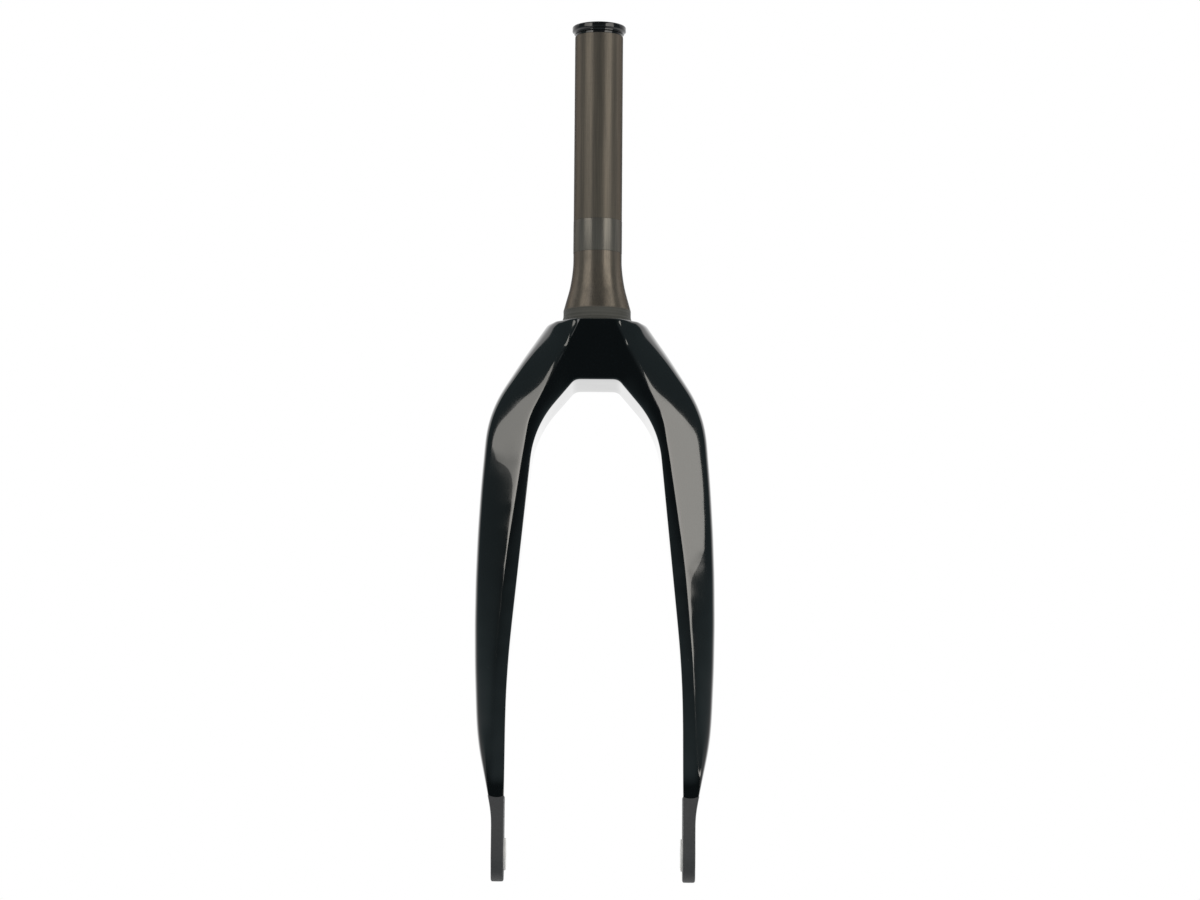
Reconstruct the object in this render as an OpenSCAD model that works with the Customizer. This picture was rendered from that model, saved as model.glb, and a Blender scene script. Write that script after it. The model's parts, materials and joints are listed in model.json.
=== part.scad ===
// Tapered carbon bicycle fork for a 20 inch wheel, upright as it sits in a frame: the
// steerer points up, the wheel goes between the legs, and the axle holes lie ahead of
// the steerer by the rake. The origin is on the steerer axis, on the flat shoulder of
// the crown where the lower headset race sits. Front is -Y, and the rider's left is +X.

/* [Steerer] */
// Outside diameter of the straight steerer tube
steerer_d = 28.6; // [28:0.1:29]
// Height of the steerer's top end above the crown shoulder
steerer_top = 174; // [140:1:220]
// Bore of the steerer tube, which the expander grips
steerer_bore_d = 23.6; // [22.4:0.1:24.4]
// Height of the seam between the tapered base and the splice collar
seam_low = 42.6; // [41:0.2:48]
// Height of the seam between the splice collar and the steerer tube
seam_high = 61.9; // [56:0.1:70]
// How far the splice collar stands proud of the tube, on each side
collar_proud = 0.1; // [0:0.05:0.3]
// Diameter of the bonded spigot under the steerer tube
spigot_d = 25; // [24:0.1:25.6]
// Height of the spigot's lower end above the crown shoulder
spigot_foot = 20; // [14:1:24]

/* [Race seat and taper] */
// Diameter of the race seat for a 1.5 inch lower bearing
race_d = 39.8; // [38:0.1:41]
// Height of the race seat
race_h = 8; // [5:0.5:9]
// Height at which the straight cone would reach the tube diameter
taper_end = 28.2; // [26:0.2:30]
// Radius that blends the cone into the tube
taper_blend_r = 74; // [40:2:80]

/* [Crown] */
// Width of the flat shoulder, corner to corner
shoulder_w = 57.2; // [56:0.2:59]
// Depth of the crown at the shoulder, front to back
crown_depth = 50; // [49:0.5:54]
// Drop from the shoulder to the flat underside of the arch
arch_drop = 36.8; // [35:0.2:42]
// Width of the flat underside, before its corners are rounded
arch_flat_w = 25.2; // [22:0.2:28]
// Width of the flat front panel at the shoulder
front_panel_w = 17.2; // [12:0.2:20]

/* [Legs] */
// Drop from the shoulder to the axle
axle_drop = 312.5; // [305:0.5:325]
// How far the axle sits ahead of the steerer axis
rake = 28; // [22:0.5:34]
// How far the legs bow out past the dropouts' outer faces
leg_bow = 14.1; // [12:0.1:15]
// Radius of the soft edges between the leg's panels
panel_edge_r = 2.4; // [1:0.1:3]

/* [Dropouts and axle] */
// Distance between the two faces that clamp the hub
hub_spacing = 100; // [96:0.5:110]
// Thickness of each dropout plate
dropout_t = 7.4; // [6:0.1:8]
// Radius of each dropout's round end
dropout_r = 15.8; // [14:0.1:17]
// Rounding of the dropout's rim
dropout_rim_r = 1.5; // [0.8:0.1:2]
// Axle hole in the metal inserts
axle_d = 10.2; // [9.6:0.1:11]
// Body diameter of the inserts
insert_d = 14; // [13:0.1:16]
// Flange diameter of the inserts
insert_flange_d = 18.5; // [17:0.1:20]
// Flange thickness of the inserts
insert_flange_t = 1.2; // [0.8:0.1:1.6]

/* [Cap and expander] */
// Diameter of the top cap
cap_d = 31.9; // [30:0.1:34]
// Height of the top cap
cap_h = 4.6; // [4:0.1:6]
// Diameter of the expander's lip, which rests on the steerer
lip_d = 28.2; // [27:0.1:28.6]
// Thickness of the expander's lip
lip_t = 1.5; // [1:0.1:2]
// Length of the expander sleeve below its lip
expander_l = 40; // [38:1:50]
// Number of slots that let the sleeve spread
slot_count = 4; // [3:1:6]
// Thread diameter of the draw bolt
draw_bolt_d = 8; // [7:0.5:8.5]
// Thread diameter of the cap bolt
cap_bolt_d = 5; // [4:0.5:5]

/* [Hidden] */
$fn = 96;

tip_z = -axle_drop - dropout_r;
plate_in = hub_spacing / 2 + insert_flange_t;
plate_out = plate_in + dropout_t;
// The sections that fan out round the crown end at this height, where they lie level
FAN_END = -88;
// Upper corners of the front panel, just under the rounded edge of the shoulder
CREASE_TOP = -6;
SHOULDER_EDGE_R = 4;
INNER_EDGE_R = 1.8;
LEG_EDGE_R = 2.5;
// The crown is hollow down to here, and solid below
HOLLOW_FOOT = -28;
SPIGOT_WALL = 2.2;
// Fine chamfers where turned ends meet
SEAM_EDGE = 0.15;
TURNED_EDGE = 0.4;
// Expander: the wedge's cone inside the sleeve's mouth, and the draw bolt's head
CONE_TOP_D = 14;
CONE_MOUTH_D = 19;
CONE_H = 12;
WEDGE_H = 8;
DRAW_HEAD_D = 13.6;
DRAW_HEAD_H = 5;
HEAD_DROP = 5;
SLOT_W = 1.6;
SLOT_H = 24;
// Cap bolt: its head in the cap, its hex sockets, and how far it reaches down
CAP_HEAD_D = 9.6;
CAP_HEAD_H = 2.4;
CAP_BOLT_L = 20;
HEX_KEY = 4;
DRAW_KEY = 6;

// Five rails draw the fork. Each is a run of corners [across, height, radius].
// Outer edge from the front: shoulder, knee, bow of the leg, tuck, dropout
OUTER = [[0, 0, 0],
         [shoulder_w / 2, 0, 5],
         [plate_out + 5.1, -0.17 * axle_drop, 75],
         [plate_out + leg_bow, -0.49 * axle_drop, 1100],
         [plate_out + 9, -0.79 * axle_drop, 165],
         [plate_out, -0.927 * axle_drop, 60],
         [plate_out, tip_z, 0]];
// Inner edge from the front: flat of the arch, its corner, inside of the leg
INNER = [[0, -arch_drop, 0],
         [arch_flat_w / 2, -arch_drop, 6],
         [plate_in - 14.9, -0.208 * axle_drop, 60],
         [plate_in, -0.675 * axle_drop, 590],
         [plate_in, tip_z, 0]];
// Crease between the front and outer panels, which runs out into the edge at the ankle
CREASE = [[0, CREASE_TOP, 0],
          [front_panel_w / 2 + 2.8, CREASE_TOP, 3],
          [plate_out - 18.9, -0.192 * axle_drop, 30],
          [plate_out - 6.1, -0.467 * axle_drop, 500],
          [plate_out - 0.9, -0.66 * axle_drop, 500],
          [plate_out + 1.7, -0.889 * axle_drop, 20],
          [plate_out - 1, -0.931 * axle_drop, 60],
          [plate_out - 1, tip_z, 0]];
// Front and back edges from the side
FRONT = [[-crown_depth / 2, 0, 0],
         [-crown_depth / 2 - 2.4, -0.144 * axle_drop, 300],
         [-rake - 9.3, -0.885 * axle_drop, 50],
         [-rake - dropout_r, -0.96 * axle_drop, 24],
         [-rake - dropout_r, tip_z, 0]];
BACK = [[crown_depth / 2, 0, 0],
        [crown_depth / 2 - 1, -0.128 * axle_drop, 90],
        [-rake + dropout_r + 0.4, -0.86 * axle_drop, 120],
        [-rake + dropout_r, -axle_drop, 200],
        [-rake + dropout_r, tip_z, 0]];
// Width and half depth of the rounded outer spine, by place in the fan and by height
SPINE_W_FAN = [[0.19, 0], [0.25, 3.8], [0.5, 2.4], [0.8, 1.1], [1, 1]];
SPINE_W_LEG = [[-240, 1], [-285, 0.3]];
SPINE_HALF_FAN = [[0.19, 13.6], [0.25, 13], [1, 12]];
SPINE_HALF_LEG = [[FAN_END, 12], [-180, 10], [-235, 9.4], [-262, 11], [-275, 13], [-300, 20]];

function unit(v) = v / norm(v);
function flatten(lists) = [for (l = lists) for (v = l) v];
function steps(r) = r < 1 ? 2 : (r < 12 ? 5 : 14);

// Points of the arc that rounds the corner p between the runs to a and to b
function arc(a, p, b) =
    let (corner = [p[0], p[1]],
         u = unit([a[0], a[1]] - corner),
         v = unit([b[0], b[1]] - corner),
         half = acos(u * v) / 2,
         centre = corner + unit(u + v) * p[2] / sin(half),
         spoke = corner + u * p[2] / tan(half) - centre,
         turn = -sign(u[0] * v[1] - u[1] * v[0]) * (180 - 2 * half),
         n = steps(p[2]))
    p[2] == 0 ? [corner]
    : [for (i = [0:n])
        let (t = turn * i / n)
        centre + [spoke[0] * cos(t) - spoke[1] * sin(t), spoke[0] * sin(t) + spoke[1] * cos(t)]];

// An open run of corners as points, and a closed one
function rail(c) =
    let (last = len(c) - 1)
    concat([[c[0][0], c[0][1]]],
           flatten([for (i = [1:last - 1]) arc(c[i - 1], c[i], c[i + 1])]),
           [[c[last][0], c[last][1]]]);
function outline(c) =
    let (n = len(c))
    flatten([for (i = [0:n - 1]) arc(c[(i + n - 1) % n], c[i], c[(i + 1) % n])]);

// Distance along a rail to each of its points
function lengths(p) =
    [for (i = 0, d = 0; i < len(p); i = i + 1, d = i < len(p) ? d + norm(p[i] - p[i - 1]) : d) d];

// A rail with its lengths: [points, distances, distance at the end of the fan]
function measured(c) =
    let (p = rail(c), d = lengths(p), n = len(p) - 1)
    [p, d, lookup(FAN_END, [for (i = [0:n]) [p[i][1], d[i]]])];

outer = measured(OUTER);
inner = measured(INNER);
crease = measured(CREASE);
front = rail(FRONT);
back = rail(BACK);

// Point of a measured rail at place s in the fan, and across at height z
function in_fan(r, s) =
    let (n = len(r[0]) - 1)
    [lookup(s * r[2], [for (i = [0:n]) [r[1][i], r[0][i][0]]]),
     lookup(s * r[2], [for (i = [0:n]) [r[1][i], r[0][i][1]]])];
function across(points, z) = lookup(z, [for (p = points) [p[1], p[0]]]);

// Front and back edge at height z; below the axle they close in the round end
function round_half(z) = sqrt(max(0, pow(dropout_r, 2) - pow(z + axle_drop, 2)));
function y_front(z) = z < -axle_drop ? -rake - round_half(z) : across(front, z);
function y_back(z) = z < -axle_drop ? -rake + round_half(z) : across(back, z);

// Three points that round the corner p between the runs to a and to b
function soft(a, p, b, r) =
    let (s = p + unit(a - p) * min(r, 0.45 * norm(a - p)),
         e = p + unit(b - p) * min(r, 0.45 * norm(b - p)))
    [s, (s + 2 * p + e) / 4, e];

// One closed section through the inner point i, the crease point c and the outer point o
function section(i, c, o, spine_w, spine_half, edge_r) =
    let (b = o - unit(o - i) * spine_w,
         mid = (y_front(o[1]) + y_back(o[1])) / 2,
         half = min(spine_half, (y_back(b[1]) - y_front(b[1])) / 2),
         i_front = [i[0], y_front(i[1]), i[1]],
         c_front = [c[0], y_front(c[1]), c[1]],
         b_front = [b[0], mid - half, b[1]],
         o_front = [b[0] + 0.75 * (o[0] - b[0]), mid - half / 2, b[1] + 0.75 * (o[1] - b[1])],
         o_back = [o_front[0], mid + half / 2, o_front[2]],
         b_back = [b[0], mid + half, b[1]],
         c_back = [c[0], y_back(c[1]), c[1]],
         i_back = [i[0], y_back(i[1]), i[1]])
    concat(soft(i_back, i_front, c_front, INNER_EDGE_R),
           soft(i_front, c_front, b_front, panel_edge_r),
           soft(c_front, b_front, o_front, edge_r),
           [o_front, [o[0], mid, o[1]], o_back],
           soft(o_back, b_back, c_back, edge_r),
           soft(b_back, c_back, i_back, panel_edge_r),
           soft(c_back, i_back, i_front, INNER_EDGE_R));

// The shoulder is an ellipse from above, round the race seat, out to this place in the fan
SHOULDER_END = 0.19;
function spine_half(s) =
    s > SHOULDER_END ? lookup(s, SPINE_HALF_FAN)
    : crown_depth / 2 * sqrt(1 - pow(in_fan(outer, s)[0] / (shoulder_w / 2), 2));

// A section of the crown's fan, by its place s from the middle (0) to the leg (1)
function fan_section(s) =
    section(in_fan(inner, s), in_fan(crease, s), in_fan(outer, s),
            lookup(s, SPINE_W_FAN), spine_half(s),
            lookup(s, [[0.2, SHOULDER_EDGE_R], [0.35, LEG_EDGE_R]]));

// A level section of the leg; the dropout's rim draws in round the tip
function rim_inset(z) =
    let (d = max(0, tip_z + dropout_rim_r - z))
    dropout_rim_r - sqrt(max(0, pow(dropout_rim_r, 2) - d * d));
function leg_section(z) =
    let (inset = rim_inset(z))
    section([across(inner[0], z) + inset, z],
            [across(crease[0], z) - inset, z],
            [across(outer[0], z) - inset, z],
            lookup(z, SPINE_W_LEG), lookup(z, SPINE_HALF_LEG),
            lookup(z, [[-250, LEG_EDGE_R], [-290, dropout_rim_r]]));

// Places of the sections: close together where the outline turns
FAN_PLACES = concat([for (i = [0:5]) i * 0.03], [for (i = [0:7]) 0.172 + i * 0.012],
                    [for (i = [0:11]) 0.29 + i * 0.0645]);
LEG_HEIGHTS = concat([for (z = [-100:-12:-232]) z], [for (z = [-242:-6:-302]) z],
                     [for (a = [0, 14, 28, 42, 54, 64, 72, 79]) -axle_drop - dropout_r * sin(a)]);
half_fork = concat([for (s = FAN_PLACES) fan_section(s)], [for (z = LEG_HEIGHTS) leg_section(z)]);

// The one-piece moulding from dropout to dropout, lofted through its sections. Each side's
// faces are split along opposite diagonals, so that the two sides mirror each other.
module fork_loft() {
    last = len(half_fork) - 1;
    rings = concat([for (i = [last:-1:1]) [for (p = half_fork[i]) [-p[0], p[1], p[2]]]], half_fork);
    m = len(rings[0]);
    k = len(rings);
    polyhedron(points = flatten(rings),
               faces = concat([[for (j = [m - 1:-1:0]) j]],
                              flatten([for (i = [0:k - 2]) for (j = [0:m - 1])
                                  let (next = (j + 1) % m,
                                       a = i * m + j, b = i * m + next,
                                       c = (i + 1) * m + next, d = (i + 1) * m + j)
                                  i < last ? [[a, b, c], [a, c, d]] : [[b, c, d], [b, d, a]]]),
                              [[for (j = [0:m - 1]) (k - 1) * m + j]]));
}

// A turned piece, from the closed outline of its half section: corners [radius, height, rounding]
module turned(corners) {
    rotate_extrude() polygon(outline(corners));
}

// Lays what is drawn along +Z on the axle's axis, pointing to +X
module on_axle() {
    translate([0, -rake, -axle_drop]) rotate([0, 90, 0]) children();
}

// Race seat and taper, which grow out of the crown up to the lower seam
module tapered_base() {
    turned([[0, -12, 0], [race_d / 2, -12, 0], [race_d / 2, race_h, 0.6],
            [steerer_d / 2, taper_end, taper_blend_r], [steerer_d / 2, seam_low, SEAM_EDGE], [0, seam_low, 0]]);
}

// Hollow of the base: the spigot's socket, which opens out below and ends in the crown
module base_hollow() {
    turned([[0, HOLLOW_FOOT, 0], [race_d / 2 - 4.4, HOLLOW_FOOT, 8], [race_d / 2 - 3.9, 0, 20],
            [spigot_d / 2, spigot_foot, 0], [spigot_d / 2, seam_low + 1, 0], [0, seam_low + 1, 0]]);
}

module fork_body() {
    color("#101416") difference() {
        union() {
            fork_loft();
            tapered_base();
        }
        base_hollow();
        on_axle() cylinder(d = insert_d, h = 3 * hub_spacing, center = true);
    }
}

module steerer_tube() {
    spigot_bore = spigot_d / 2 - SPIGOT_WALL;
    color("#5f5a52")
        turned([[spigot_bore, spigot_foot, 0], [spigot_d / 2, spigot_foot, 0], [spigot_d / 2, seam_high, 0],
                [steerer_d / 2, seam_high, SEAM_EDGE], [steerer_d / 2, steerer_top, TURNED_EDGE],
                [steerer_bore_d / 2, steerer_top, 0], [steerer_bore_d / 2, seam_high + 14, 2],
                [spigot_bore, seam_high + 6, 2]]);
}

module splice_collar() {
    color("#6d675e")
        turned([[spigot_d / 2, seam_low, 0], [steerer_d / 2 + collar_proud, seam_low, SEAM_EDGE],
                [steerer_d / 2 + collar_proud, seam_high, SEAM_EDGE], [spigot_d / 2, seam_high, 0]]);
}

// Slotted sleeve: its lip rests on the steerer, and its mouth takes the wedge's cone
module expander_sleeve() {
    foot = steerer_top - expander_l;
    seat = steerer_top - HEAD_DROP - DRAW_HEAD_H;
    color("#1b1d20") difference() {
        turned([[CONE_MOUTH_D / 2, foot, 0], [steerer_bore_d / 2, foot, TURNED_EDGE],
                [steerer_bore_d / 2, steerer_top, 0], [lip_d / 2, steerer_top, 0],
                [lip_d / 2, steerer_top + lip_t, TURNED_EDGE], [DRAW_HEAD_D / 2, steerer_top + lip_t, 0],
                [DRAW_HEAD_D / 2, seat, 0], [draw_bolt_d / 2 + 0.3, seat, 0],
                [draw_bolt_d / 2 + 0.3, foot + CONE_H + 2, 0], [CONE_TOP_D / 2, foot + CONE_H, 0]]);
        for (i = [0:slot_count - 1]) rotate([0, 0, (i + 0.5) * 360 / slot_count])
            translate([CONE_TOP_D / 4, -SLOT_W / 2, foot - 1]) cube([steerer_bore_d, SLOT_W, SLOT_H + 1]);
    }
}

// Cone nut that the draw bolt pulls up into the sleeve
module expander_wedge() {
    foot = steerer_top - expander_l;
    color("#b9bcc0")
        turned([[draw_bolt_d / 2, foot - WEDGE_H, 0], [CONE_MOUTH_D / 2 + 0.5, foot - WEDGE_H, TURNED_EDGE],
                [CONE_MOUTH_D / 2 + 0.5, foot - 2.4, 0], [CONE_MOUTH_D / 2, foot, 0],
                [CONE_TOP_D / 2, foot + CONE_H, 0], [draw_bolt_d / 2, foot + CONE_H, 0]]);
}

// Hollow draw bolt: a hex in its head, and a thread down its middle for the cap bolt
module expander_bolt() {
    head_top = steerer_top - HEAD_DROP;
    foot = steerer_top - expander_l - WEDGE_H - 2;
    color("#2a2c30") difference() {
        turned([[cap_bolt_d / 2, foot, 0], [draw_bolt_d / 2, foot, TURNED_EDGE],
                [draw_bolt_d / 2, head_top - DRAW_HEAD_H, 0], [DRAW_HEAD_D / 2, head_top - DRAW_HEAD_H, 0],
                [DRAW_HEAD_D / 2, head_top, TURNED_EDGE], [cap_bolt_d / 2, head_top, 0]]);
        translate([0, 0, head_top - 3]) cylinder(d = DRAW_KEY / cos(30), h = 4, $fn = 6);
    }
}

// Cap: conical underside on the expander's lip, and a pocket for the bolt's head
module top_cap() {
    foot = steerer_top + lip_t;
    top = foot + cap_h;
    shelf = top - CAP_HEAD_H - 0.4;
    color("#141517")
        turned([[lip_d / 2 - 0.1, foot, 0], [cap_d / 2, foot + 1.6, 0.3], [cap_d / 2, top, 0.8],
                [CAP_HEAD_D / 2 + 0.3, top, TURNED_EDGE], [CAP_HEAD_D / 2 + 0.3, shelf, 0],
                [cap_bolt_d / 2 + 0.3, shelf, 0], [cap_bolt_d / 2 + 0.3, foot, 0]]);
}

module cap_bolt() {
    top = steerer_top + lip_t + cap_h - 0.4;
    seat = top - CAP_HEAD_H;
    color("#8d9094") difference() {
        turned([[0, seat - CAP_BOLT_L, 0], [cap_bolt_d / 2, seat - CAP_BOLT_L, TURNED_EDGE],
                [cap_bolt_d / 2, seat, 0], [CAP_HEAD_D / 2, seat, 0], [CAP_HEAD_D / 2, top, TURNED_EDGE],
                [0, top, 0]]);
        translate([0, 0, top - 1.8]) cylinder(d = HEX_KEY / cos(30), h = 3, $fn = 6);
    }
}

// Flanged bush for one dropout, drawn for the side that side points to
module axle_insert(side) {
    color("#a9abae") mirror([side < 0 ? 1 : 0, 0, 0]) on_axle()
        turned([[axle_d / 2, hub_spacing / 2, 0], [insert_flange_d / 2, hub_spacing / 2, TURNED_EDGE],
                [insert_flange_d / 2, plate_in, 0], [insert_d / 2, plate_in, 0], [insert_d / 2, plate_out, 0],
                [axle_d / 2, plate_out, 0]]);
}
module axle_insert_left() {
    axle_insert(1);
}
module axle_insert_right() {
    axle_insert(-1);
}

fork_body();
steerer_tube();
splice_collar();
expander_sleeve();
expander_wedge();
expander_bolt();
top_cap();
cap_bolt();
axle_insert_left();
axle_insert_right();
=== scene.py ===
"""Looks of a tapered carbon bicycle fork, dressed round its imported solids.

The frame is the part's own: +Z up the steerer, -Y to the front, +X to the rider's
left, with the origin on the crown's shoulder. Sizes below are in millimetres, and
every mesh is scaled to metres as it is finished.
"""

import json
import logging
import math
from collections.abc import Callable, Sequence
from dataclasses import dataclass, field
from enum import Enum

import bmesh
import bpy
from mathutils import Matrix, Vector

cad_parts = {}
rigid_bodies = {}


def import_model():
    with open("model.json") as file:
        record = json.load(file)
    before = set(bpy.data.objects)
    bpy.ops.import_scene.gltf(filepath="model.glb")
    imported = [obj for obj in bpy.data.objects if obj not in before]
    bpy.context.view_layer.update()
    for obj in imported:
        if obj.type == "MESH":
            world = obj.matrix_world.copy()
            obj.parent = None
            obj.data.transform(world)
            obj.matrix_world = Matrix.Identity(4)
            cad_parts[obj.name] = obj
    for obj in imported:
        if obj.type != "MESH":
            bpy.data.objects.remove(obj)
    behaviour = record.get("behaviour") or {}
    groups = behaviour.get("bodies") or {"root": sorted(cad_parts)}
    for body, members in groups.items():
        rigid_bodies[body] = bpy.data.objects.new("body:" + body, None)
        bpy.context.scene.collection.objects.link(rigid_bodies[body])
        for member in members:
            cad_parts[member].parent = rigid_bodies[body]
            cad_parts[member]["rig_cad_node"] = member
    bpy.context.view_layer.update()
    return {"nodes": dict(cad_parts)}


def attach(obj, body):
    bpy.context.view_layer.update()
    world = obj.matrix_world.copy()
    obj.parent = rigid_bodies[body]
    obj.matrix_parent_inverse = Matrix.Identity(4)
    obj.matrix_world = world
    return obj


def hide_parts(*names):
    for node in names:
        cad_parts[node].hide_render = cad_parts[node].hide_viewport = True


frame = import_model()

LOG = logging.getLogger("fork")
MM = 0.001
ROOT = "root"

# Sizes that more than one piece or finish uses
TUBE_R = 14.3
RACE_H = 8.0
LOWER_SEAM = 42.6
RAKE = 28.0
AXLE_DROP = 312.5
PLATE_IN = 51.2
PLATE_OUT = 58.6
BUSH_R = 7.0

Point = tuple[float, float, float]
Pair = tuple[float, float]
Colour = tuple[float, float, float, float]
Socket = bpy.types.NodeSocket


def stand(name: str, data: bpy.types.ID) -> bpy.types.Object:
    """Makes an object and puts it in the scene.

    Args:
        name: Its name.
        data: Its mesh, lamp or camera.

    Returns:
        The object.
    """
    made = bpy.data.objects.new(name, data)
    bpy.context.scene.collection.objects.link(made)
    return made


# Wiring of materials, the world and shader groups


class Graph:
    """A node tree being wired."""

    def __init__(self, tree: bpy.types.NodeTree) -> None:
        """Keeps the tree.

        Args:
            tree: The tree that nodes are added to.
        """
        self.tree = tree

    def feed(self, socket: Socket, value: object) -> None:
        """Links a socket to what feeds it, or sets it.

        Args:
            socket: The input.
            value: A socket, or the input's own value.
        """
        if isinstance(value, bpy.types.NodeSocket):
            self.tree.links.new(value, socket)
        else:
            socket.default_value = value

    def node(self, kind: str, inputs: dict | None = None, **settings: object) -> bpy.types.Node:
        """Adds a node.

        Args:
            kind: The node's class name.
            inputs: Socket name or number, to a value or a socket.
            **settings: Properties of the node itself.

        Returns:
            The new node.
        """
        made = self.tree.nodes.new(kind)
        for name, value in settings.items():
            setattr(made, name, value)
        for key, value in (inputs or {}).items():
            self.feed(made.inputs[key], value)
        return made

    def math(self, operation: str, *values: object) -> Socket:
        """Adds a Math node.

        Args:
            operation: The node's operation.
            *values: Its inputs in order, as numbers or sockets.

        Returns:
            The result's socket.
        """
        return self.node("ShaderNodeMath", dict(enumerate(values)), operation=operation).outputs[0]

    def plus(self, a: object, b: object) -> Socket:
        """Adds two values and returns the sum's socket."""
        return self.math("ADD", a, b)

    def minus(self, a: object, b: object) -> Socket:
        """Takes the second value from the first and returns the result's socket."""
        return self.math("SUBTRACT", a, b)

    def times(self, a: object, b: object) -> Socket:
        """Multiplies two values and returns the product's socket."""
        return self.math("MULTIPLY", a, b)

    def spread(self, share: Socket, low: float, high: float) -> Socket:
        """Runs a value from low to high as a share goes from 0 to 1, and returns its socket."""
        return self.plus(low, self.times(share, high - low))

    def length(self, x: Socket, y: Socket) -> Socket:
        """Gives the length of a flat vector and returns its socket."""
        return self.math("SQRT", self.plus(self.times(x, x), self.times(y, y)))

    def ease(self, value: Socket, low: float, high: float, to_low: float = 0.0, to_high: float = 1.0) -> Socket:
        """Maps a value from one range to another, eased and held at both ends.

        Args:
            value: The socket that is mapped.
            low: Value that becomes to_low.
            high: Value that becomes to_high.
            to_low: Result at low.
            to_high: Result at high.

        Returns:
            The result's socket.
        """
        made = self.node(
            "ShaderNodeMapRange",
            {"Value": value, "From Min": low, "From Max": high, "To Min": to_low, "To Max": to_high},
            interpolation_type="SMOOTHSTEP",
        )
        return made.outputs["Result"]

    def blend(self, mask: object, low: object, high: object) -> Socket:
        """Mixes two colours by a mask.

        Args:
            mask: 0 for the first colour, 1 for the second.
            low: First colour, or its socket.
            high: Second colour, or its socket.

        Returns:
            The mixed colour's socket.
        """
        made = self.node("ShaderNodeMix", data_type="RGBA")
        colours = [socket for socket in made.inputs if socket.type == "RGBA"]
        self.feed(made.inputs[0], mask)
        self.feed(colours[0], low)
        self.feed(colours[1], high)
        return next(socket for socket in made.outputs if socket.type == "RGBA")

    def place(self) -> Socket:
        """Adds the piece's own coordinates and returns their socket."""
        return self.node("ShaderNodeTexCoord").outputs["Object"]

    def split(self, vector: Socket) -> tuple[Socket, Socket, Socket]:
        """Splits a vector.

        Args:
            vector: The socket that is split.

        Returns:
            Its three parts' sockets.
        """
        parts = self.node("ShaderNodeSeparateXYZ", {0: vector}).outputs
        return parts[0], parts[1], parts[2]

    def join(self, x: object, y: object, z: object) -> Socket:
        """Makes a vector.

        Args:
            x: First part, as a number or a socket.
            y: Second part.
            z: Third part.

        Returns:
            The vector's socket.
        """
        return self.node("ShaderNodeCombineXYZ", {0: x, 1: y, 2: z}).outputs[0]


def fresh_graph(owner: bpy.types.ID) -> Graph:
    """Gives a material, lamp or world an empty node tree.

    Args:
        owner: The material, lamp or world.

    Returns:
        The tree, ready to be wired.
    """
    owner.use_nodes = True
    owner.node_tree.nodes.clear()
    return Graph(owner.node_tree)


def shaded(colour: Colour, share: float) -> Colour:
    """Makes a colour darker or lighter.

    Args:
        colour: The colour.
        share: What its parts are multiplied by.

    Returns:
        The new colour.
    """
    red, green, blue, alpha = colour
    return red * share, green * share, blue * share, alpha


class Effect(Enum):
    """Effects that several finishes share."""

    GRAIN = "fine_grain"
    FIBRE = "straight_fibres"
    TURNING = "turning_marks"
    WEAR = "edge_wear"
    SPECKS = "dust_specks"


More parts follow.
